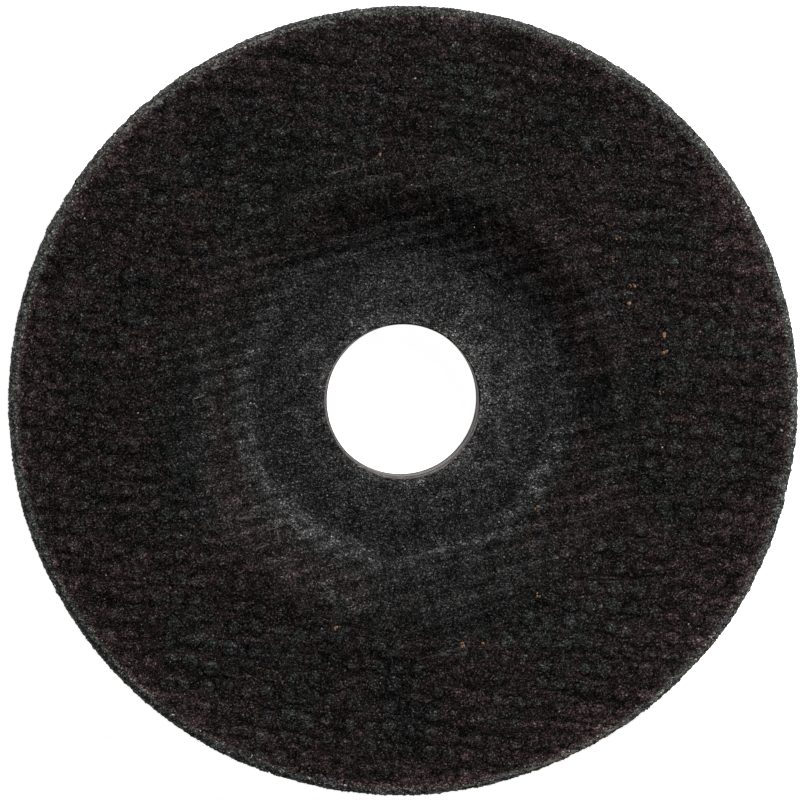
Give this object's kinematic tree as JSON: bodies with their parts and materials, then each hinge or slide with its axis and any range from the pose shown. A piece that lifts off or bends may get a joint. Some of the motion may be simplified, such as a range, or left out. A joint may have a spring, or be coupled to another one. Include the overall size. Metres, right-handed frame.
{
  "type": "angle grinder disc",
  "caption": "Depressed-centre bonded abrasive disc with a steel bore ring and glass cloth plies, for shaping work on an angle grinder.",
  "frame": {"origin": "on the bore's axis, at the rear face of the steel ring, which seats on the grinder's inner flange", "axes": "+Z along the bore's axis, from the rear hub face towards the working side"},
  "size_m": [0.115, 0.115, 0.0106],
  "materials": {
    "ring_steel": "satin",
    "label_paper": "matte",
    "abrasive": "matte",
    "face_grit": "matte",
    "glass_yarn": "satin"
  },
  "bodies": {
    "root": {"arbor_ring": "ring_steel", "rear_label": "label_paper", "rear_face_grit": "face_grit", "rear_cloth_weft": "glass_yarn", "rear_cloth_warp": "glass_yarn", "rear_abrasive": "abrasive", "centre_cloth_weft": "glass_yarn", "centre_cloth_warp": "glass_yarn", "front_abrasive": "abrasive", "hub_cloth": "glass_yarn", "front_cloth_weft": "glass_yarn", "front_cloth_warp": "glass_yarn", "front_face_grit": "face_grit"}
  },
  "joints": []
}
